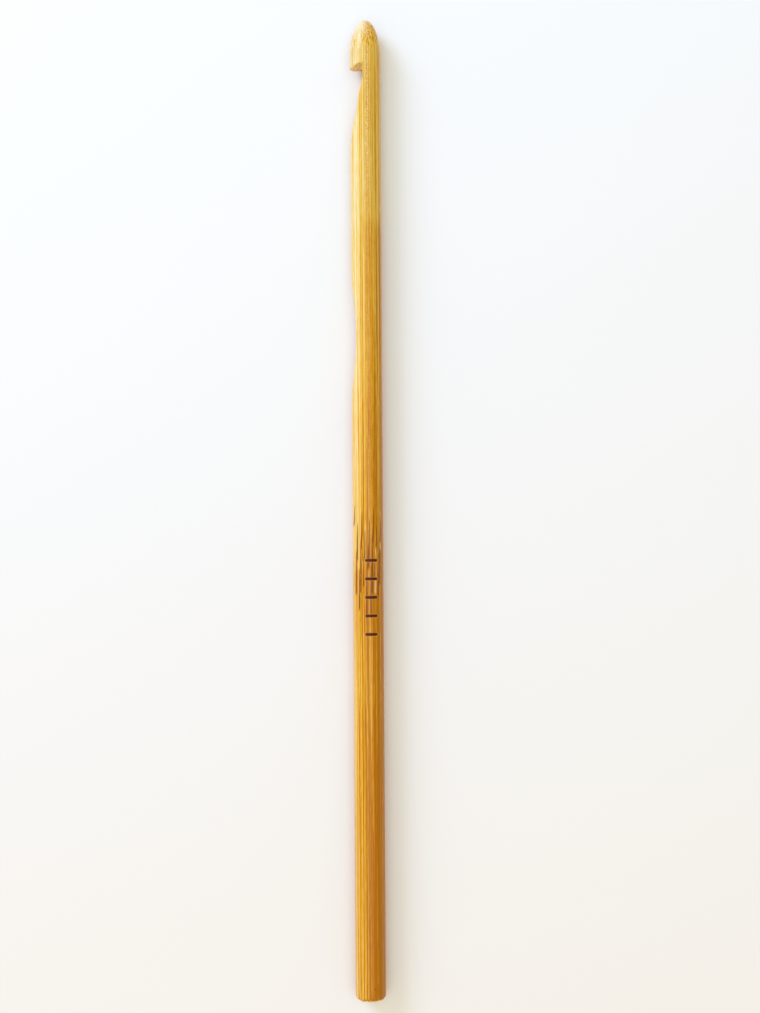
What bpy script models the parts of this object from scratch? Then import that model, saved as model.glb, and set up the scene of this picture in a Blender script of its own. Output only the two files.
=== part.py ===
"""A crochet hook of 5.0 mm gauge, carved from one stick of bamboo.

The stick lies along Y on the plane Z = 0, with its tip at +Y and its butt end at -Y. The mouth
and the thumb rest are cut into its -X side. Every distance called "along" runs from the tip
towards the butt, and every distance called "out" runs from the stick's axis towards -X.

The real hook is a single piece of wood. It is built here as five solids, one for each stretch
that a crocheter has a word for, so that each is a simple shape and the mouth between the head
and the throat stays open. They are fixed to each other and never move.
"""

from math import cos, pi, radians, sin

import bmesh
import bpy
from mathutils import Vector

# The stick, in metres.
LENGTH = 0.160
DIAMETER = 0.005
SIDES = 32
GAP = 0.0003

# The head: a rounded nose, and a lip that the slanted face of the mouth leaves hanging.
NOSE_LENGTH = 0.0058
NOSE_RINGS = 12
MOUTH_AT_AXIS = 0.00739
MOUTH_SLANT = radians(17.6)

# The throat: a flat floor, then a hand-cut ramp of (along, out) points back to the full stick.
FLOOR_OUT = 0.00037
FLOOR_END = 0.0097
RAMP = (
    (0.0113, 0.00074),
    (0.0128, 0.00107),
    (0.0144, 0.00127),
    (0.0157, 0.00152),
    (0.0170, 0.00192),
    (0.0185, 0.00220),
    (0.0200, 0.00236),
    (0.0220, 0.00250),
)
THROAT_END = 0.0225

# The thumb rest: a shallow dish whose depth follows a squared cosine.
THUMB_START = 0.0393
THUMB_END = 0.0645
DISH_CENTRE = 0.0517
DISH_HALF_LENGTH = 0.0120
DISH_DEPTH = 0.00079
DISH_STEPS = 20

# The butt end: a flat face with a rounded rim.
RIM_RADIUS = 0.00045
RIM_STEPS = 4

RADIUS = DIAMETER / 2
TIP_Y = LENGTH / 2
CORNER_RATIO = 1 / cos(pi / SIDES)
BLOCK = 0.020
MERGE_DISTANCE = 0.000001
SHARP_ANGLE = radians(25)

# Base colours from the pale tip to the golden butt, with the roughness of waxed bamboo.
HEAD_COLOUR = (0.80, 0.58, 0.27, 1)
THROAT_COLOUR = (0.77, 0.53, 0.22, 1)
SHANK_COLOUR = (0.74, 0.48, 0.17, 1)
THUMB_COLOUR = (0.73, 0.45, 0.15, 1)
HANDLE_COLOUR = (0.69, 0.39, 0.10, 1)
ROUGHNESS = 0.42


def clear_scene():
    """Removes whatever the file starts with."""
    for thing in list(bpy.data.objects):
        bpy.data.objects.remove(thing, do_unlink=True)


def new_collection(name):
    """A collection directly under the scene's own."""
    collection = bpy.data.collections.new(name)
    bpy.context.scene.collection.children.link(collection)
    return collection


def bamboo(name, colour):
    """The material of one stretch of the stick."""
    material = bpy.data.materials.new(name)
    material.use_nodes = True
    material.diffuse_color = colour
    shader = material.node_tree.nodes["Principled BSDF"]
    shader.inputs["Base Color"].default_value = colour
    shader.inputs["Roughness"].default_value = ROUGHNESS
    shader.inputs["Metallic"].default_value = 0.0
    return material


def turned(name, profile, colour):
    """A stretch of the stick, turned from a profile of (along, radius) that starts at the tip end.

    The radius is to the middle of each flat side, and one side faces straight down.
    """
    points = [(radius * CORNER_RATIO, 0, TIP_Y - along) for along, radius in profile]
    links = [(index, index + 1) for index in range(len(points) - 1)]
    mesh = bpy.data.meshes.new(name)
    mesh.from_pydata(points, links, [])
    mesh.materials.append(bamboo("bamboo_" + name, colour))
    piece = bpy.data.objects.new(name, mesh)
    piece.location = (0, 0, RADIUS)
    piece.rotation_mode = "ZYX"
    piece.rotation_euler = (-pi / 2, 0, pi / SIDES)
    screw = piece.modifiers.new("turn", "SCREW")
    screw.steps = SIDES
    screw.render_steps = SIDES
    screw.use_merge_vertices = True
    screw.merge_threshold = MERGE_DISTANCE
    return piece


def plain_profile(start, end):
    """The profile of a straight stretch with two flat ends."""
    return [(start, 0), (start, RADIUS), (end, RADIUS), (end, 0)]


def nose_profile(end):
    """Half an ellipse from the tip to the full stick, then straight on to a flat end."""
    rings = []
    for ring in range(NOSE_RINGS + 1):
        turn = pi / 2 * ring / NOSE_RINGS
        rings.append((NOSE_LENGTH * (1 - cos(turn)), RADIUS * sin(turn)))
    return rings + [(end, RADIUS), (end, 0)]


def butt_profile(start):
    """A straight stretch to the butt end, whose rim is a quarter circle."""
    rim = []
    for step in range(RIM_STEPS + 1):
        turn = pi / 2 * step / RIM_STEPS
        along = LENGTH - RIM_RADIUS * (1 - sin(turn))
        rim.append((along, RADIUS - RIM_RADIUS * (1 - cos(turn))))
    return [(start, 0), (start, RADIUS)] + rim + [(LENGTH, 0)]


def as_cutter(cutter, collection):
    """Puts a cutter in its collection and shows it as wire."""
    collection.objects.link(cutter)
    cutter.display_type = "WIRE"
    cutter.hide_render = True
    return cutter


def slanted_block(name, shift, side, collection):
    """A block with one face on the mouth's slanted plane, moved along its normal by shift.

    side is +1 for a block that reaches towards the tip, and -1 for one towards the butt.
    """
    mesh = bpy.data.meshes.new(name)
    cube = bmesh.new()
    bmesh.ops.create_cube(cube, size=BLOCK)
    cube.to_mesh(mesh)
    cube.free()
    normal = Vector((-sin(MOUTH_SLANT), cos(MOUTH_SLANT), 0))
    on_axis = Vector((0, TIP_Y - MOUTH_AT_AXIS, RADIUS))
    block = bpy.data.objects.new(name, mesh)
    block.location = on_axis + normal * (shift + side * BLOCK / 2)
    block.rotation_euler = (0, 0, MOUTH_SLANT)
    return as_cutter(block, collection)


def side_cutter(name, edge, collection):
    """A prism along Z that takes off everything further out than an edge of (along, out) points."""
    reach = DIAMETER
    outline = [(edge[0][0], reach)] + list(edge) + [(edge[-1][0], reach)]
    curve = bpy.data.curves.new(name, "CURVE")
    curve.dimensions = "2D"
    curve.fill_mode = "BOTH"
    curve.extrude = DIAMETER
    spline = curve.splines.new("POLY")
    spline.points.add(len(outline) - 1)
    for point, (along, out) in zip(spline.points, outline):
        point.co = (-out, TIP_Y - along, 0, 1)
    spline.use_cyclic_u = True
    flat = bpy.data.objects.new(name, curve)
    flat.location = (0, 0, RADIUS)
    return as_cutter(as_mesh(flat), collection)


def as_mesh(outline):
    """Replaces a filled curve with a closed mesh of the same shape, name and place."""
    name = outline.name
    bpy.context.scene.collection.objects.link(outline)
    bpy.context.view_layer.update()
    place = outline.matrix_world.copy()
    seen = outline.evaluated_get(bpy.context.evaluated_depsgraph_get())
    mesh = bpy.data.meshes.new_from_object(seen)
    bpy.data.objects.remove(outline, do_unlink=True)
    shape = bmesh.new()
    shape.from_mesh(mesh)
    bmesh.ops.remove_doubles(shape, verts=shape.verts, dist=MERGE_DISTANCE)
    bmesh.ops.recalc_face_normals(shape, faces=shape.faces)
    shape.to_mesh(mesh)
    shape.free()
    solid = bpy.data.objects.new(name, mesh)
    solid.matrix_world = place
    return solid


def cut(piece, cutter):
    """Takes a cutter's shape out of a piece."""
    boolean = piece.modifiers.new(cutter.name, "BOOLEAN")
    boolean.operation = "DIFFERENCE"
    boolean.solver = "EXACT"
    boolean.object = cutter


def keep_shape(piece):
    """Applies a piece's modifiers, then shades it smooth except across its real edges."""
    bpy.context.view_layer.update()
    seen = piece.evaluated_get(bpy.context.evaluated_depsgraph_get())
    mesh = bpy.data.meshes.new_from_object(seen)
    piece.modifiers.clear()
    piece.data = mesh
    mesh.name = piece.name
    mesh.shade_smooth()
    mesh.set_sharp_from_angle(angle=SHARP_ANGLE)


def ramp_edge():
    """The mouth's floor from above the slanted face to where the throat is a full stick again."""
    above_lip = (MOUTH_AT_AXIS - RADIUS, FLOOR_OUT)
    past_ramp = (THROAT_END + GAP, RADIUS * CORNER_RATIO)
    return [above_lip, (FLOOR_END, FLOOR_OUT)] + list(RAMP) + [past_ramp]


def dish_edge():
    """The thumb rest's dish, which leaves the stick's side and comes back to it smoothly."""
    edge = []
    for step in range(DISH_STEPS + 1):
        across = 2 * step / DISH_STEPS - 1
        depth = DISH_DEPTH * cos(pi / 2 * across) ** 2
        edge.append((DISH_CENTRE + DISH_HALF_LENGTH * across, RADIUS - depth))
    return edge


def build():
    """Makes the five stretches of the hook and the cutters that shape them."""
    clear_scene()
    parts = new_collection("crochet_hook")
    cutters = new_collection("cutters")

    head = turned("hook_head", nose_profile(MOUTH_AT_AXIS + RADIUS), HEAD_COLOUR)
    cut(head, slanted_block("mouth_face", 0, -1, cutters))

    throat_start = MOUTH_AT_AXIS - RADIUS
    throat = turned("throat", plain_profile(throat_start, THROAT_END), THROAT_COLOUR)
    cut(throat, slanted_block("below_mouth_face", -GAP, 1, cutters))
    cut(throat, side_cutter("mouth_and_ramp", ramp_edge(), cutters))

    shank = turned("shank", plain_profile(THROAT_END + GAP, THUMB_START), SHANK_COLOUR)

    thumb_rest = turned("thumb_rest", plain_profile(THUMB_START + GAP, THUMB_END), THUMB_COLOUR)
    cut(thumb_rest, side_cutter("thumb_dish", dish_edge(), cutters))

    handle = turned("handle", butt_profile(THUMB_END + GAP), HANDLE_COLOUR)

    whole = bpy.data.objects.new("crochet_hook", None)
    parts.objects.link(whole)
    for piece in (head, throat, shank, thumb_rest, handle):
        parts.objects.link(piece)
        piece.parent = whole
        keep_shape(piece)


build()
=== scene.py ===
"""The looks of a bamboo crochet hook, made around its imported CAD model.

The real hook is one carved stick, so one continuous mesh stands for all five CAD nodes. It is
swept from rings of points. Distances called "along" run from the tip towards the butt end, and
distances called "out" run from the stick's axis towards -X, the side that the mouth faces.
Lengths here are in millimetres until the last step, which turns them into metres.
"""

from math import pi, radians, tan

import bmesh
import bpy
import numpy as np
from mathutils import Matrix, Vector, noise


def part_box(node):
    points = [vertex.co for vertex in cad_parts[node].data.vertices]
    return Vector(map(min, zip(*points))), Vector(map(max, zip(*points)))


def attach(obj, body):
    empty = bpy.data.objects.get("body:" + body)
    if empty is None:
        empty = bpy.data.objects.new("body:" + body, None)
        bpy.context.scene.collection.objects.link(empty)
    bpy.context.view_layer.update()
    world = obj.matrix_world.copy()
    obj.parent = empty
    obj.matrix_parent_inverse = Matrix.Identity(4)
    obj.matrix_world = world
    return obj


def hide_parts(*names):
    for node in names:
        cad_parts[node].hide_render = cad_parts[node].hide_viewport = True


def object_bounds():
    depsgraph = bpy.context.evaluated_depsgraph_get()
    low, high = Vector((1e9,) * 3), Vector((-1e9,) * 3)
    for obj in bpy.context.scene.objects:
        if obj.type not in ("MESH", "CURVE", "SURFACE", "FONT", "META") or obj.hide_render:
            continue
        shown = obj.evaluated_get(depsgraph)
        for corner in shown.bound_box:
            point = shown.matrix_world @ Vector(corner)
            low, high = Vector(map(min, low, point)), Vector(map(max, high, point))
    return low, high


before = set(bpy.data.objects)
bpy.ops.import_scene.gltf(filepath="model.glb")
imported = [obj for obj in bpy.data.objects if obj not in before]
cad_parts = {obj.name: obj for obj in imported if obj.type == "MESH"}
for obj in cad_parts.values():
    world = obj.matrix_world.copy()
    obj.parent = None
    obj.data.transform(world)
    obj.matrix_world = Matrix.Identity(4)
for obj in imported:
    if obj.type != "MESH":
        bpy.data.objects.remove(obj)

# ---------------------------------------------------------------- sizes, from the frame
MM = 1000.0
CAD_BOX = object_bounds()
LOW, HIGH = (np.array(corner) * MM for corner in CAD_BOX)
RADIUS = (HIGH[0] - LOW[0]) / 2
AXIS_Z = (HIGH[2] + LOW[2]) / 2
TIP_Y = HIGH[1]
LENGTH = HIGH[1] - LOW[1]
SKIN = 0.012  # the finished surface lies this far inside the CAD stick

# The mouth: a slanted face, a flat floor, then a ramp of (along, out) points.
MOUTH_SLOPE = tan(radians(17.6))
LIP_ALONG = TIP_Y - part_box("hook_head")[0][1] * MM
MOUTH_ALONG = LIP_ALONG - MOUTH_SLOPE * RADIUS
NOSE_LENGTH = 5.8
LIP_ROUND = 0.35  # radius of the lip's sanded edge
CORNER_FILL = 0.26  # wood left in the corner between the mouth's face and its floor
CORNER_SOFT = 0.3  # width over which the corners along the floor are rounded
FLOOR_OUT = 0.37
FLOOR_END = 9.7
RAMP = ((9.7, 0.37), (11.3, 0.74), (12.8, 1.07), (14.4, 1.27), (15.7, 1.52),
        (17.0, 1.92), (18.5, 2.2), (20.0, 2.36), (22.4, 2.52))

# The thumb rest, and the rim of the butt end.
DISH_CENTRE = 51.7
DISH_HALF = 12.0
DISH_DEPTH = 0.79
RIM_LENGTH = 0.9
RIM_INSET = 0.6

# The gauge mark: five burnt bars across the stick, one for each millimetre of its diameter.
BARS = 5
BAR_FIRST = 88.2
BAR_PITCH = 3.0
BAR_CENTRE_X = 0.5
BAR_HALF_LENGTH = 0.75
BAR_HALF_WIDTH = 0.24
BAR_DEPTH = 0.1

# The ring of growth where one length of the bamboo cane ends and the next begins.
NODE_ALONG = 88.0
NODE_SPREAD = 7.0

# The relief of the finished surface.
FIBRE_DEPTH = 0.012
FACE_PITS = 0.13
BUTT_PITS = 0.16

AROUND = 192  # points in each ring of the mesh


# ---------------------------------------------------------------- the hook's mesh
def smooth_step(value, start, end):
    """0 before start, 1 after end, and an even curve between."""
    part = np.clip((value - start) / (end - start), 0, 1)
    return part * part * (3 - 2 * part)


def smooth_least(first, second, width):
    """The smaller of two values, with the corner between them rounded over a width."""
    share = np.clip(0.5 + 0.5 * (second - first) / width, 0, 1)
    return second + (first - second) * share - width * share * (1 - share)


def ramp_out(along):
    """How far out the cut of the mouth reaches at a distance along, as a smooth curve."""
    points = np.array(RAMP)
    slopes = np.gradient(points[:, 1], points[:, 0])
    slopes[0] = 0
    slopes[-1] = 0
    index = int(np.clip(np.searchsorted(points[:, 0], along) - 1, 0, len(points) - 2))
    (start, low), (end, high) = points[index], points[index + 1]
    span = end - start
    part = np.clip((along - start) / span, 0, 1)
    rise = 3 * part**2 - 2 * part**3
    bend = span * part * (1 - part) * (slopes[index] * (1 - part) - slopes[index + 1] * part)
    return low + (high - low) * rise + bend


def dish_out(along):
    """How far out the stick reaches in the thumb rest."""
    across = np.clip((along - DISH_CENTRE) / DISH_HALF, -1, 1)
    return RADIUS - DISH_DEPTH * np.cos(pi / 2 * across) ** 2


class Ring:
    """One loop of points round the stick, on a plane that may lean with the mouth's face."""

    def __init__(self, along, radius=None, lean=0.0, limit=None, cut=0.0, soft=CORNER_SOFT,
                 trim=0.0):
        self.along = along
        self.radius = RADIUS - SKIN if radius is None else radius
        self.lean = lean
        self.limit = limit
        self.cut = cut
        self.soft = soft
        self.trim = trim

    def points(self):
        """The loop's (out, along, up) points, starting on the mouth's side."""
        turn = np.arange(AROUND) * 2 * pi / AROUND
        out = self.radius * np.cos(turn)
        up = self.radius * np.sin(turn)
        inset = 1 - self.trim / self.radius * smooth_step(out, FLOOR_OUT, FLOOR_OUT + 0.7)
        out = out * inset
        up = up * inset
        if self.limit is not None:
            inner = smooth_least(out, np.full_like(out, self.limit), self.soft)
            out = out + (inner - out) * self.cut
        along = self.along + self.lean * out
        return np.stack([out, along, up], axis=1)


def spaced(start, end, count):
    """count values after start, up to and including end."""
    return [start + (end - start) * (step + 1) / count for step in range(count)]


def nose_rings(count):
    """Half an ellipse from the tip, with more rings where it is blunt."""
    rings = []
    for part in spaced(0, 1, count):
        turn = pi / 2 * part
        rings.append(Ring(NOSE_LENGTH * (1 - np.cos(turn)), (RADIUS - SKIN) * np.sin(turn)))
    return rings


def head_rings(count):
    """From the nose to the lip's edge, leaning more and more with the mouth's face."""
    edge = MOUTH_ALONG - LIP_ROUND
    return [Ring(along, lean=MOUTH_SLOPE * smooth_step(along, NOSE_LENGTH, edge))
            for along in spaced(NOSE_LENGTH, edge, count)]


def lip_rings(count):
    """Round the sanded edge of the lip."""
    rings = []
    for part in spaced(0, 1, count):
        turn = pi / 2 * part
        along = MOUTH_ALONG - LIP_ROUND * (1 - np.sin(turn))
        rings.append(Ring(along, lean=MOUTH_SLOPE, trim=LIP_ROUND * (1 - np.cos(turn))))
    return rings


def face_rings(count):
    """Across the mouth's slanted face, from the lip's edge in to the floor."""
    return [Ring(MOUTH_ALONG + CORNER_FILL * part**6, lean=MOUTH_SLOPE, limit=FLOOR_OUT, cut=part,
                 trim=LIP_ROUND)
            for part in spaced(0, 1, count)]


def throat_rings(floor_count, ramp_count):
    """Down the mouth's floor and up the ramp to the full stick."""
    rings = []
    start = MOUTH_ALONG + CORNER_FILL
    for along in spaced(start, FLOOR_END, floor_count):
        lean = MOUTH_SLOPE * (1 - smooth_step(along, start, FLOOR_END))
        rings.append(Ring(along, lean=lean, limit=FLOOR_OUT, cut=1))
    for along in spaced(FLOOR_END, RAMP[-1][0], ramp_count):
        limit = ramp_out(along)
        soft = CORNER_SOFT * (1 - smooth_step(along, 19, RAMP[-1][0])) + 0.001
        rings.append(Ring(along, limit=limit, cut=1, soft=soft))
    return rings


def dish_rings(count):
    """Through the thumb rest, whose edges soften towards its ends."""
    rings = []
    for along in spaced(DISH_CENTRE - DISH_HALF, DISH_CENTRE + DISH_HALF, count):
        depth = RADIUS - dish_out(along)
        rings.append(Ring(along, limit=RADIUS - SKIN - depth, cut=1, soft=0.002 + 0.5 * depth))
    return rings


def plain_rings(start, end, count):
    """A straight round stretch."""
    return [Ring(along) for along in spaced(start, end, count)]


def butt_rings(rim_count, face_count):
    """The rounded rim of the butt end, then its flat face in to the middle."""
    rings = []
    for part in spaced(0, 1, rim_count):
        turn = pi / 2 * part
        radius = RADIUS - SKIN - RIM_INSET * (1 - np.cos(turn))
        rings.append(Ring(LENGTH - SKIN - RIM_LENGTH * (1 - np.sin(turn)), radius))
    inside = RADIUS - SKIN - RIM_INSET
    for part in spaced(1, 0.06, face_count):
        rings.append(Ring(LENGTH - SKIN, inside * part))
    return rings


def all_rings():
    """Every ring of the hook, from just behind the tip to the middle of the butt face."""
    dish_start = DISH_CENTRE - DISH_HALF
    dish_end = DISH_CENTRE + DISH_HALF
    mark_start = BAR_FIRST - 1.2
    mark_end = BAR_FIRST + (BARS - 1) * BAR_PITCH + 1.2
    rings = nose_rings(48)
    rings += head_rings(20)
    rings += lip_rings(8)
    rings += face_rings(24)
    rings += throat_rings(30, 86)
    rings += plain_rings(RAMP[-1][0], dish_start, 18)
    rings += dish_rings(60)
    rings += plain_rings(dish_end, mark_start, 26)
    rings += plain_rings(mark_start, mark_end, 104)
    rings += plain_rings(mark_end, LENGTH - SKIN - RIM_LENGTH, 44)
    rings += butt_rings(12, 14)
    return rings


def fibre_relief(out, along, up):
    """How far the sanded surface sinks between the bamboo's fibres, 0 to 1."""
    fine = noise.noise(Vector((out * 5, along * 0.07, up * 5)))
    broad = noise.noise(Vector((out * 1.6 + 7, along * 0.02, up * 1.6)))
    return min(max(0.5 + 0.5 * fine + 0.3 * broad, 0), 1)


def torn_grain(out, along, up):
    """The pits of fibres cut across, 0 to 1."""
    coarse = noise.noise(Vector((out * 3.3, along * 2, up * 3.3)))
    fine = noise.noise(Vector((out * 9, along * 3, up * 9 + 4)))
    return min(max(0.5 + 0.6 * coarse + 0.4 * fine, 0), 1)


def bar_depth(out, along):
    """How deep the burnt bars are cut at a point on the top of the stick."""
    step = min(max(round((along - BAR_FIRST) / BAR_PITCH), 0), BARS - 1)
    beside = max(abs(-out - BAR_CENTRE_X) - BAR_HALF_LENGTH, 0)
    away = np.hypot(beside, along - BAR_FIRST - step * BAR_PITCH)
    return BAR_DEPTH * (1 - smooth_step(away, BAR_HALF_WIDTH * 0.7, BAR_HALF_WIDTH * 1.3))


def weather(point, on_face):
    """Moves one (out, along, up) point inward by the relief of the finished surface."""
    out, along, up = point
    ragged = smooth_step(along, LENGTH - RIM_LENGTH, LENGTH)
    if on_face:
        along -= FACE_PITS * torn_grain(out, along, up)
        return out, along, up
    along -= BUTT_PITS * ragged * torn_grain(out * 0.6, along * 0.1, up * 0.6)
    across = np.hypot(out, up)
    sink = FIBRE_DEPTH * fibre_relief(out, along, up)
    if up > 0:
        sink += bar_depth(out, along)
    share = 1 - sink / max(across, 0.3)
    return out * share, along, up * share


def hook_points():
    """Every vertex of the hook in metres, as one array of rings."""
    grid = []
    for ring in all_rings():
        loop = ring.points()
        on_face = 0 < ring.cut < 1
        grid.append([weather(point, on_face) for point in loop])
    grid = np.array(grid)
    spot = np.stack([-grid[..., 0], TIP_Y - grid[..., 1], AXIS_Z + grid[..., 2]], axis=-1)
    return spot / MM


def make_hook():
    """The one continuous mesh of the hook."""
    spots = hook_points()
    shape = bmesh.new()
    rows = [[shape.verts.new(spot) for spot in loop] for loop in spots]
    tip = shape.verts.new((0, TIP_Y / MM, AXIS_Z / MM))
    heart = shape.verts.new((0, (TIP_Y - LENGTH + SKIN) / MM, AXIS_Z / MM))
    for index in range(AROUND):
        after = (index + 1) % AROUND
        shape.faces.new((tip, rows[0][index], rows[0][after]))
        shape.faces.new((heart, rows[-1][after], rows[-1][index]))
        for upper, lower in zip(rows, rows[1:]):
            shape.faces.new((upper[index], lower[index], lower[after], upper[after]))
    bmesh.ops.remove_doubles(shape, verts=shape.verts, dist=0.0000005)
    bmesh.ops.dissolve_degenerate(shape, edges=shape.edges, dist=0.0000001)
    bmesh.ops.recalc_face_normals(shape, faces=shape.faces)
    mesh = bpy.data.meshes.new("bamboo_hook")
    shape.to_mesh(mesh)
    shape.free()
    mesh.shade_smooth()
    hook = bpy.data.objects.new("bamboo_hook", mesh)
    bpy.context.scene.collection.objects.link(hook)
    soften_mouth(hook)
    return hook


def soften_mouth(hook):
    """Rounds the cut edges of the mouth, as sanding does."""
    edges = hook.vertex_groups.new(name="mouth_edges")
    for vertex in hook.data.vertices:
        along = TIP_Y - vertex.co.y * MM
        weight = smooth_step(along, 6.3, 7.2) * (1 - smooth_step(along, 11, 13))
        if weight > 0:
            edges.add([vertex.index], float(weight), "REPLACE")
    sanding = hook.modifiers.new("sanding", "SMOOTH")
    sanding.factor = 0.5
    sanding.iterations = 3
    sanding.vertex_group = edges.name


# ---------------------------------------------------------------- materials
class Shader:
    """Adds nodes to one material, each in a single call that gives back its output."""

    def __init__(self, name):
        self.material = bpy.data.materials.new(name)
        self.material.use_nodes = True
        self.tree = self.material.node_tree
        self.surface = self.tree.nodes["Principled BSDF"]

    def put(self, socket, value):
        """Joins an output to a socket, or sets the socket to a plain value."""
        if isinstance(value, bpy.types.NodeSocket):
            self.tree.links.new(value, socket)
        else:
            socket.default_value = value

    def node(self, kind, **settings):
        """A new node with its settings."""
        made = self.tree.nodes.new(kind)
        for name, value in settings.items():
            setattr(made, name, value)
        return made

    def math(self, operation, *values, clamp=False):
        """A math node."""
        made = self.node("ShaderNodeMath", operation=operation, use_clamp=clamp)
        for socket, value in zip(made.inputs, values):
            self.put(socket, value)
        return made.outputs[0]

    def join(self, x, y, z):
        """A vector of three numbers."""
        made = self.node("ShaderNodeCombineXYZ")
        for socket, value in zip(made.inputs, (x, y, z)):
            self.put(socket, value)
        return made.outputs[0]

    def fade(self, value, start, end):
        """0 at start, 1 at end, smooth between."""
        made = self.node("ShaderNodeMapRange", interpolation_type="SMOOTHSTEP")
        for socket, number in zip(made.inputs, (value, start, end, 0.0, 1.0)):
            self.put(socket, number)
        return made.outputs[0]

    def noise(self, vector, detail=2.0, roughness=0.5):
        """Noise from 0 to 1 at a scale set by its vector."""
        made = self.node("ShaderNodeTexNoise")
        self.put(made.inputs["Vector"], vector)
        made.inputs["Scale"].default_value = 1.0
        made.inputs["Detail"].default_value = detail
        made.inputs["Roughness"].default_value = roughness
        return made.outputs["Fac"]

    def ramp(self, value, stops):
        """A colour ramp with (place, colour) stops."""
        made = self.node("ShaderNodeValToRGB")
        elements = made.color_ramp.elements
        while len(elements) < len(stops):
            elements.new(1.0)
        for element, (place, colour) in zip(elements, stops):
            element.position = place
            element.color = colour
        self.put(made.inputs["Fac"], value)
        return made.outputs["Color"]

    def mix(self, share, first, second, blend="MIX"):
        """Two colours mixed."""
        made = self.node("ShaderNodeMix", data_type="RGBA", blend_type=blend)
        for socket, value in zip((made.inputs[0], made.inputs[6], made.inputs[7]),
                                 (share, first, second)):
            self.put(socket, value)
        return made.outputs[2]


# How dark the wood is at the left, in the middle and at the right of each stretch of the stick,
# from 0 for pale to 1 for dark.
# The darker right side is partly the wood's own fibres and partly painted shade, for the side turned
# from the light.
SHADES = (
    (0.25, 0.50, 0.60),
    (0.30, 0.60, 0.80),
    (0.40, 0.70, 0.90),
    (0.50, 0.75, 0.90),
    (0.50, 0.85, 1.00))
SHADE_PLACES = (0.1, 0.5, 0.9)
# Where each stretch gives way to the next, as (start, end) of the change.
CHANGES = ((31.0, 36.0), (54.0, 68.0), (86.0, 92.0), (108.0, 124.0))

# The fibres that stand out most, as (mm right of the axis, first and last distance along, half
# width, how much darker than the wood round them).
MAIN_FIBRES = (
    (-0.9, 12, 60, 0.08, 0.30),
    (1.7, 8, 60, 0.10, 0.20),
    (-0.7, 62, 84, 0.08, 0.30),
    (1.2, 50, 84, 0.10, 0.25),
    (-0.6, 96, 118, 0.08, 0.25),
    (1.6, 96, 160, 0.10, 0.20),
    (-1.6, 112, 160, 0.08, 0.35),
    (-1.0, 112, 160, 0.08, 0.30),
    (0.9, 112, 160, 0.12, 0.30))

# Albedo from the palest pith to the darkest fibre.
FIBRE_COLOURS = (
    (0.0, (0.88, 0.73, 0.42, 1)),
    (0.25, (0.83, 0.56, 0.15, 1)),
    (0.5, (0.77, 0.42, 0.050, 1)),
    (0.75, (0.63, 0.26, 0.006, 1)),
    (1.0, (0.47, 0.14, 0.0, 1)))

# The other colours of the wood.
NEAR_TIP_TINT = (0.95, 1, 1, 1)
HEAD_TINT = (0.87, 0.86, 0.87, 1)
RIGHT_TINT = (0.87, 1, 1, 1)
EVEN_TONE = (0.27, 0.27, 0.27, 1)
PITH = (0.80, 0.64, 0.32, 1)
# The pale nose is partly worn wood and partly a painted highlight.
NOSE_WEAR_AND_HIGHLIGHT = (0.85, 0.77, 0.56, 1)
PALE_WEDGE = (0.84, 0.64, 0.26, 1)
DARK_WEDGE = (0.25, 0.050, 0.0, 1)
SCORCHED = (0.50, 0.24, 0.05, 1)
BURNT = (0.080, 0.004, 0.0, 1)
HOLE = (0.16, 0.03, 0.004, 1)
# The speckled end grain, its pale stops raised to brighten the faces turned from the light: partly
# the grain's own colour, partly painted light.
END_GRAIN_AND_LIGHT = (
    (0.36, (0.40, 0.15, 0.006, 1)),
    (0.47, (0.92, 0.57, 0.10, 1)),
    (0.59, (1.0, 0.92, 0.52, 1)))

# Wedges where old fibres end at the growth ring. Steps of the golden ratio keep neighbours unlike.
GOLDEN = 0.618
WEDGE_REACH = 2.1
FIRST_WEDGE_ALONG = 79.0
WEDGES_BEGIN_OVER = 12.0


def wedge_table(count, half_width, strength):
    """Wedges as (mm right of the axis, first and last distance along, half width, lean, strength)."""
    table = []
    for number in range(count):
        place = WEDGE_REACH * (2.0 * number / (count - 1) - 1.0)
        late = number * GOLDEN % 1.0
        long = number * number * GOLDEN % 1.0
        first = FIRST_WEDGE_ALONG + WEDGES_BEGIN_OVER * late
        last = first + 4.0 + 6.0 * long
        lean = 0.2 * (1.0 - late)
        table.append((place, first, last, half_width * (0.7 + 0.6 * long), lean, strength))
    return table


DARK_WEDGES = wedge_table(19, 0.13, 0.9)
PALE_WEDGES = wedge_table(6, 0.11, 0.6)

# Small marks of use, as (mm right of the axis, along, radius).
PINHOLES = ((0.73, 157.7, 0.13), (-0.55, 129.2, 0.07))


def grey_stops(shades):
    """The shades of one stretch as the stops of a colour ramp across the stick."""
    stops = []
    for place, dark in zip(SHADE_PLACES, shades):
        stops.append((place, (dark, dark, dark, 1)))
    return stops


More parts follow.
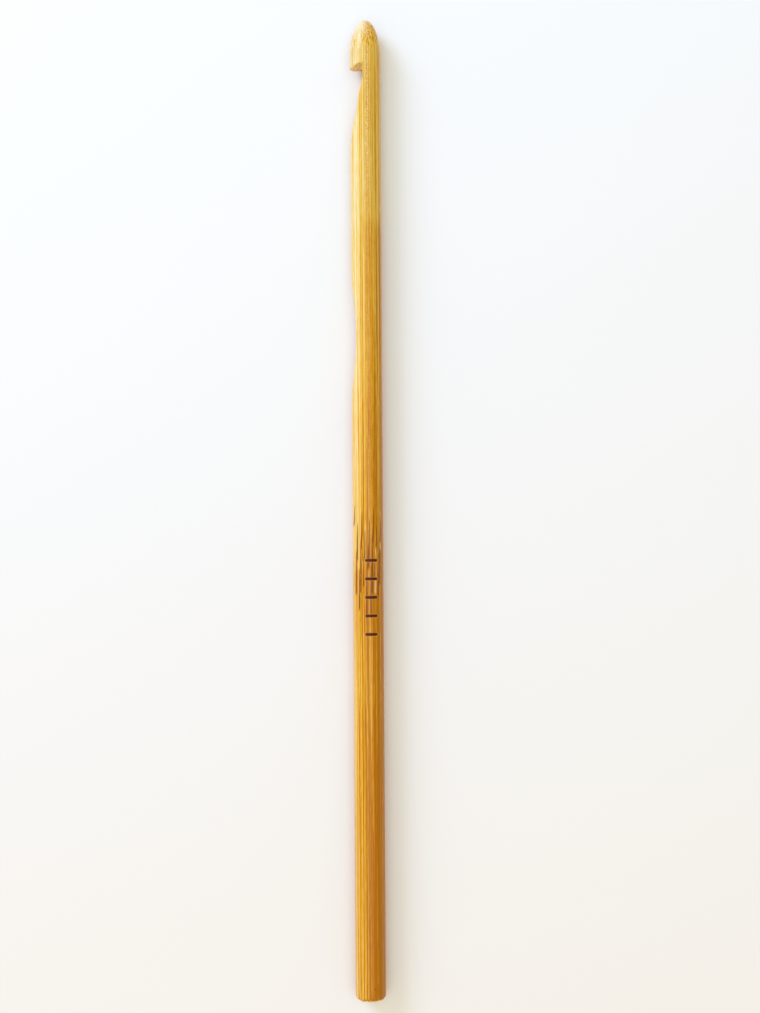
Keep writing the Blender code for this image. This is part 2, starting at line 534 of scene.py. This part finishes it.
class Bamboo(Shader):
    """The material of the stick, built up from its place on the stick in millimetres."""

    def __init__(self):
        super().__init__("bamboo")
        split = self.node("ShaderNodeSeparateXYZ")
        self.put(split.inputs[0], self.node("ShaderNodeTexCoord").outputs["Object"])
        self.x = self.math("MULTIPLY", split.outputs[0], MM)
        self.along = self.math("MULTIPLY_ADD", split.outputs[1], -MM, float(TIP_Y))
        self.up = self.math("MULTIPLY_ADD", split.outputs[2], MM, float(-AXIS_Z))
        self.across = self.wandering()

    def field(self, across, along, detail=2.0, roughness=0.5):
        """Noise in the wood, at so many cells per millimetre across and along its fibres."""
        place = self.join(self.math("MULTIPLY", self.across, across),
                          self.math("MULTIPLY", self.along, along),
                          self.math("MULTIPLY", self.up, across))
        return self.noise(place, detail, roughness)

    def between(self, value, start, end, soft):
        """1 from start to end of a value, with soft ends."""
        rise = self.fade(value, start - soft, start + soft)
        fall = self.fade(value, end - soft, end + soft)
        return self.math("SUBTRACT", rise, fall)

    def add_share(self, tone, share, strength):
        """A tone with so much of a 0 to 1 share added."""
        return self.math("MULTIPLY_ADD", share, strength, tone)

    def wandering(self):
        """The place across the fibres, which stray a little and swirl at the growth ring."""
        near_ring = self.math("ABSOLUTE", self.math("SUBTRACT", self.along, NODE_ALONG + 1))
        swirl = self.math("SUBTRACT", 1.0, self.fade(near_ring, 1.0, NODE_SPREAD))
        stray = self.noise(self.join(self.math("MULTIPLY", self.x, 1.1),
                                     self.math("MULTIPLY", self.along, 0.3),
                                     self.math("MULTIPLY", self.up, 1.1)))
        reach = self.math("MULTIPLY_ADD", swirl, 0.7, 0.08)
        shift = self.math("MULTIPLY", self.math("SUBTRACT", stray, 0.5), reach)
        under = self.fade(self.up, 0.0, -2.5)
        shift = self.math("MULTIPLY_ADD", under, 0.9, shift)
        return self.math("ADD", self.x, shift)

    def fibres(self):
        """The darkness of the wood, with long fibres that change from stretch to stretch, and painted
        shade that darkens its right side.
        """
        seat = self.math("MULTIPLY_ADD", self.across, 0.5 / float(RADIUS), 0.5)
        tone = self.ramp(seat, grey_stops(SHADES[0]))
        patchy = self.math("MULTIPLY_ADD", self.field(2.5, 0.12), 6.0, -3.0)
        place = self.math("ADD", self.along, patchy)
        for shades, (start, end) in zip(SHADES[1:], CHANGES):
            layer = self.ramp(seat, grey_stops(shades))
            tone = self.mix(self.fade(place, start, end), tone, layer)
        long_fibres = self.field(4.5, 0.012, 2.0, 0.7)
        tone = self.math("ADD", tone, self.math("MULTIPLY_ADD", long_fibres, 1.3, -0.65))
        tone = self.main_fibres(tone)
        return self.mix(self.left_of_head(), tone, EVEN_TONE)

    def main_fibres(self, tone):
        """The tone with the main fibres added, which fade in and out along the stick."""
        for place, first, last, half_width, strength in MAIN_FIBRES:
            away = self.math("ABSOLUTE", self.math("SUBTRACT", self.across, place))
            line = self.fade(away, half_width * 1.6, half_width * 0.4)
            share = self.math("MULTIPLY", line, self.between(self.along, first, last, 3.0))
            tone = self.add_share(tone, share, strength)
        return tone

    def left_of_head(self):
        """Where the wood is even and pale, above the mouth."""
        head = self.fade(self.along, 9.0, 6.0)
        side = self.fade(self.x, 0.4, -0.6)
        return self.math("MULTIPLY", self.math("MULTIPLY", head, side), 0.6)

    def rope(self):
        """Where the mottled bundle runs down from the head, and how dark it is there."""
        inside = self.between(self.across, 0.0, 0.62, 0.10)
        fading = self.math("MULTIPLY_ADD", self.fade(self.along, 34.0, 20.0), 0.75, 0.25)
        above = self.between(self.along, 5.0, 86.0, 2.5)
        share = self.math("MULTIPLY", self.math("MULTIPLY", inside, fading), above)
        mottle = self.math("SUBTRACT", self.field(5.4, 3.8, 1.0), 0.56)
        return share, self.math("MULTIPLY", mottle, share)

    def nose_dashes(self):
        """The short ends of fibres that the round nose cuts across."""
        nose = self.fade(self.along, 6.0, 2.6)
        side = self.math("MULTIPLY_ADD", self.fade(self.x, -0.8, 0.5), 0.85, 0.15)
        ends = self.fade(self.field(5.6, 1.7, 1.0), 0.42, 0.62)
        ends = self.math("SUBTRACT", ends, 0.25)
        return self.math("MULTIPLY", self.math("MULTIPLY", nose, side), ends)

    def node_darkness(self):
        """The stain round the growth ring, which leaves the right edge pale."""
        stain = self.between(self.along, 88.0, 100.0, 5.0)
        side = self.math("MULTIPLY_ADD", self.fade(self.x, 1.6, 2.2), -0.16, 0.10)
        return self.math("MULTIPLY", stain, side)

    def nose_wear_and_highlight(self):
        """The pale upper left of the nose: partly worn wood, partly a painted highlight."""
        nose = self.fade(self.along, 3.8, 1.4)
        return self.math("MULTIPLY", nose, self.fade(self.x, 1.1, -0.8))

    def hue(self):
        """The wood is a little greener towards the tip and along the right of its top."""
        near_tip = self.fade(self.along, 60.0, 25.0)
        above = self.fade(self.up, -0.6, 1.6)
        on_right = self.math("MULTIPLY", self.fade(self.x, 0.5, 1.7), above)
        colour = self.mix(near_tip, (1, 1, 1, 1), NEAR_TIP_TINT)
        colour = self.mix(self.left_of_head(), colour, HEAD_TINT)
        return self.mix(on_right, colour, RIGHT_TINT)

    def wedge(self, place, first, last, half_width, lean, strength):
        """One wedge, from 0 outside it to its strength inside."""
        past = self.math("SUBTRACT", self.along, first)
        part = self.math("DIVIDE", past, last - first, clamp=True)
        centre = self.math("MULTIPLY_ADD", self.math("MULTIPLY", part, part), -lean, place)
        away = self.math("ABSOLUTE", self.math("SUBTRACT", self.x, centre))
        width = self.math("MULTIPLY", self.math("POWER", part, 0.6), half_width)
        edge = self.math("SUBTRACT", away, width)
        inside = self.fade(edge, 0.08, -0.04)
        ends = self.between(self.along, first + 0.3, last - 0.4, 0.5)
        return self.math("MULTIPLY", self.math("MULTIPLY", inside, ends), strength)

    def wedges(self, table):
        """All the wedges of a table, on the top of the stick."""
        share = None
        for values in table:
            one = self.wedge(*values)
            share = one if share is None else self.math("MAXIMUM", share, one)
        broken = self.math("MULTIPLY_ADD", self.field(6.0, 0.9), 0.8, 0.6, clamp=True)
        share = self.math("MULTIPLY", share, broken)
        return self.math("MULTIPLY", share, self.fade(self.up, -0.4, 0.4))

    def bars(self):
        """The burnt bars of the gauge mark: 1 in a bar, and a scorched edge round it."""
        beyond = self.math("SUBTRACT", self.along, BAR_FIRST)
        step = self.math("ROUND", self.math("DIVIDE", beyond, BAR_PITCH))
        step = self.math("MINIMUM", self.math("MAXIMUM", step, 0.0), float(BARS - 1))
        lengthwise = self.math("SUBTRACT", beyond, self.math("MULTIPLY", step, BAR_PITCH))
        beside = self.math("ABSOLUTE", self.math("SUBTRACT", self.x, BAR_CENTRE_X))
        beside = self.math("MAXIMUM", self.math("SUBTRACT", beside, BAR_HALF_LENGTH), 0.0)
        away = self.math("SQRT", self.math("ADD", self.math("POWER", beside, 2.0),
                                           self.math("POWER", lengthwise, 2.0)))
        above = self.fade(self.up, 0.3, 0.6)
        ragged = self.math("MULTIPLY_ADD", self.field(5.0, 4.0), 0.14, -0.07)
        away = self.math("ADD", away, ragged)
        burnt = self.fade(away, BAR_HALF_WIDTH * 1.15, BAR_HALF_WIDTH * 0.75)
        scorched = self.fade(away, BAR_HALF_WIDTH * 2.0, BAR_HALF_WIDTH)
        return self.math("MULTIPLY", burnt, above), self.math("MULTIPLY", scorched, above)

    def pinholes(self):
        """Tiny dark holes in the top of the stick."""
        share = None
        for place, along, radius in PINHOLES:
            sideways = self.math("SUBTRACT", self.x, place)
            lengthwise = self.math("SUBTRACT", self.along, along)
            away = self.math("SQRT", self.math("ADD", self.math("POWER", sideways, 2.0),
                                               self.math("POWER", lengthwise, 2.0)))
            hole = self.fade(away, radius, radius * 0.5)
            share = hole if share is None else self.math("MAXIMUM", share, hole)
        return self.math("MULTIPLY", share, self.fade(self.up, 0.0, 0.5))

    def end_grain(self):
        """Where fibres are cut straight across: the mouth's face and the butt."""
        split = self.node("ShaderNodeSeparateXYZ")
        self.put(split.inputs[0], self.node("ShaderNodeTexCoord").outputs["Normal"])
        return self.fade(self.math("MULTIPLY", split.outputs[1], -1.0), 0.45, 0.85)

    def tone(self, fine):
        """Where the rope is, and the darkness of the wood with all its fibres and the painted shade
        on its right, 0 to 1.
        """
        hairs = self.field(8.0, 0.5, 2.0, 0.5)
        lines = self.fade(self.field(5.0, 0.025, 1.0), 0.55, 0.62)
        tone = self.math("MULTIPLY_ADD", self.fibres(), 1.2, -0.08)
        tone = self.math("ADD", tone, self.math("MULTIPLY_ADD", fine, 0.6, -0.30))
        tone = self.math("ADD", tone, self.math("MULTIPLY_ADD", hairs, 0.5, -0.25))
        tone = self.math("ADD", tone, self.math("MULTIPLY_ADD", lines, 0.30, -0.08))
        rope, rope_tone = self.rope()
        tone = self.add_share(tone, rope_tone, 1.3)
        tone = self.add_share(tone, self.nose_dashes(), 0.30)
        return rope, self.math("ADD", tone, self.node_darkness(), clamp=True)

    def colour(self, tone, rope):
        """The wood's colour, with everything that is grown, worn or burnt into it, with painted shade
        on its right, a painted highlight on the nose and painted light on the end grain.
        """
        colour = self.mix(1.0, self.ramp(tone, FIBRE_COLOURS), self.hue(), "MULTIPLY")
        colour = self.mix(self.math("MULTIPLY", rope, 0.16), colour, PITH)
        # Paler upper left of the nose: partly worn wood, partly a painted highlight.
        colour = self.mix(self.math("MULTIPLY", self.nose_wear_and_highlight(), 0.6), colour, NOSE_WEAR_AND_HIGHLIGHT)
        colour = self.mix(self.wedges(PALE_WEDGES), colour, PALE_WEDGE)
        colour = self.mix(self.wedges(DARK_WEDGES), colour, DARK_WEDGE)
        burnt, scorched = self.bars()
        colour = self.mix(self.math("MULTIPLY", scorched, 0.45), colour, SCORCHED)
        colour = self.mix(burnt, colour, BURNT)
        colour = self.mix(self.pinholes(), colour, HOLE)
        # End grain speckle on the mouth's face and the butt, partly painted light on these shaded
        # faces.
        speckle_and_light = self.ramp(self.field(3.8, 1.2, 2.0, 0.6), END_GRAIN_AND_LIGHT)
        return self.mix(self.end_grain(), colour, speckle_and_light)

    def build(self):
        """Joins everything up and gives back the material."""
        fine = self.field(5.0, 0.05, 3.0, 0.6)
        rope, tone = self.tone(fine)
        surface = self.surface
        self.put(surface.inputs["Base Color"], self.colour(tone, rope))
        worn = self.math("MULTIPLY_ADD", self.fade(self.along, 2.5, 9.0), 0.26, 0.04)
        self.put(surface.inputs["Roughness"], self.math("MULTIPLY_ADD", fine, 0.2, worn))
        surface.inputs["Coat Weight"].default_value = 0.3
        surface.inputs["Coat Roughness"].default_value = 0.12
        surface.inputs["Specular IOR Level"].default_value = 0.15
        surface.inputs["Specular Tint"].default_value = (1.0, 0.75, 0.35, 1)
        bump = self.node("ShaderNodeBump")
        bump.inputs["Strength"].default_value = 0.35
        bump.inputs["Distance"].default_value = 0.00002
        self.put(bump.inputs["Height"], self.math("SUBTRACT", 1.0, tone))
        self.put(surface.inputs["Normal"], bump.outputs[0])
        return self.material


# The paper from beside the tip to beside the butt end, warmer towards the butt end: a painted wash of
# warmer light.
PAPER_AND_LIGHT_WASH = (
    (0.0, (0.855, 0.845, 0.840, 1)),
    (0.5, (0.862, 0.830, 0.812, 1)),
    (1.0, (0.878, 0.818, 0.765, 1)))


def paper():
    """The pale matt sheet that the hook lies on, a little yellower towards the butt's end, where
    warmer light is painted on.
    """
    make = Shader("paper")
    split = make.node("ShaderNodeSeparateXYZ")
    make.put(split.inputs[0], make.node("ShaderNodeTexCoord").outputs["Object"])
    place = make.math("MULTIPLY_ADD", split.outputs[1], -MM / float(LENGTH), 0.5)
    # The warmer colour towards the butt end is painted light.
    make.put(make.surface.inputs["Base Color"], make.ramp(place, PAPER_AND_LIGHT_WASH))
    make.surface.inputs["Roughness"].default_value = 0.9
    make.surface.inputs["Specular IOR Level"].default_value = 0.0
    return make.material


# ---------------------------------------------------------------- stage, camera and light
CAMERA_PLACE = (2.0, 0.52, AXIS_Z + 248.7)  # in millimetres
CAMERA_TURN = radians(-0.37)
FOCAL_LENGTH = 54.05
SENSOR_WIDTH = 36

# The lamps, as (name, place in metres, size, power, colour).
LAMPS = (
    ("window", (-0.49, 0.49, 0.40), 0.36, 4.7, (0.51, 0.63, 1.0)),
    ("ceiling", (0, 0, 1.0), 1.0, 5.0, (0.32, 0.74, 1.0)))
SURROUND_COLOUR = (1.0, 0.80, 0.54, 1)
SURROUND_STRENGTH = 0.786


def make_floor():
    """A plain pale sheet under the hook."""
    shape = bmesh.new()
    bmesh.ops.create_grid(shape, x_segments=1, y_segments=1, size=1.5)
    mesh = bpy.data.meshes.new("floor")
    shape.to_mesh(mesh)
    shape.free()
    mesh.materials.append(paper())
    floor = bpy.data.objects.new("floor", mesh)
    floor.location = (0, 0, LOW[2] / MM)
    bpy.context.scene.collection.objects.link(floor)


def make_camera():
    """Straight above the hook, a hand's length away, turned a little so that the hook leans."""
    lens = bpy.data.cameras.new("camera")
    lens.lens = FOCAL_LENGTH
    lens.sensor_width = SENSOR_WIDTH
    lens.clip_start = 0.01
    lens.clip_end = 10
    camera = bpy.data.objects.new("camera", lens)
    camera.location = Vector(CAMERA_PLACE) / MM
    camera.rotation_euler = (0, 0, CAMERA_TURN)
    bpy.context.scene.collection.objects.link(camera)
    bpy.context.scene.camera = camera


def make_lamp(name, place, size, power, colour):
    """A square soft light at a place, pointed at the middle of the floor."""
    light = bpy.data.lights.new(name, "AREA")
    light.shape = "SQUARE"
    light.size = size
    light.energy = power
    light.color = colour
    lamp = bpy.data.objects.new(name, light)
    lamp.location = place
    lamp.rotation_euler = (-Vector(place)).to_track_quat("-Z", "Y").to_euler()
    bpy.context.scene.collection.objects.link(lamp)


def make_light():
    """Cool daylight from the upper left, a broad ceiling overhead, and a warm surround."""
    world = bpy.data.worlds.new("surround")
    world.use_nodes = True
    sky = world.node_tree.nodes["Background"]
    sky.inputs["Color"].default_value = SURROUND_COLOUR
    sky.inputs["Strength"].default_value = SURROUND_STRENGTH
    bpy.context.scene.world = world
    for lamp in LAMPS:
        make_lamp(*lamp)


def main():
    hook = make_hook()
    hook.data.materials.append(Bamboo().build())
    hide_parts("hook_head", "throat", "shank", "thumb_rest", "handle")
    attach(hook, "root")
    make_floor()
    make_camera()
    make_light()
    bpy.context.scene.view_settings.view_transform = "Standard"


main()
